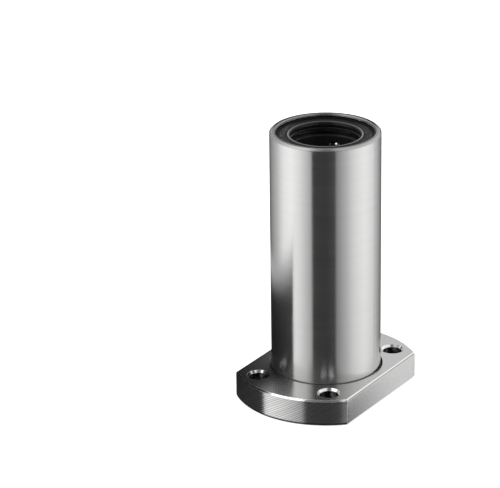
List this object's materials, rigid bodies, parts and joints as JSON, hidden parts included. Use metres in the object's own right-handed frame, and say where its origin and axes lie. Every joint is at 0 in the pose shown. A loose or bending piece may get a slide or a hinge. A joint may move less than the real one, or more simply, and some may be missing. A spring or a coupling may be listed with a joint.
{
  "type": "flanged linear bearing",
  "caption": "Long linear ball bearing: a ground steel tube with a flange cut flat on two sides, counterbored bolt holes, ball circuits inside and a rubber seal at each end.",
  "frame": {"origin": "centre of the flange's outer face, on the shaft's axis", "axes": "+Z along the shaft's axis from the flange to the tube's free end; the flange's flat sides face +X and -X, and its round ends face +Y and -Y"},
  "size_m": [0.038, 0.054, 0.08],
  "materials": {
    "ground_steel": "ground and polished bearing steel, with fine lines round the tube",
    "ball_steel": "polished ball bearing steel",
    "spring_steel": "dark oiled spring steel",
    "plate_steel": "stamped steel, dull",
    "black_resin": "black moulded resin with a slight sheen",
    "seal_rubber": "matte black moulded rubber"
  },
  "bodies": {
    "root": {"outer_sleeve": "ground_steel", "spacer_ring": "black_resin", "lower_retainer": "black_resin", "upper_retainer": "black_resin", "lower_seal": "seal_rubber", "upper_seal": "seal_rubber", "lower_seal_plate": "plate_steel", "upper_seal_plate": "plate_steel", "lower_snap_ring": "spring_steel", "upper_snap_ring": "spring_steel", "lower_balls_1": "ball_steel", "lower_balls_2": "ball_steel", "lower_balls_3": "ball_steel", "lower_balls_4": "ball_steel", "lower_balls_5": "ball_steel", "upper_balls_1": "ball_steel", "upper_balls_2": "ball_steel", "upper_balls_3": "ball_steel", "upper_balls_4": "ball_steel", "upper_balls_5": "ball_steel"}
  },
  "joints": []
}
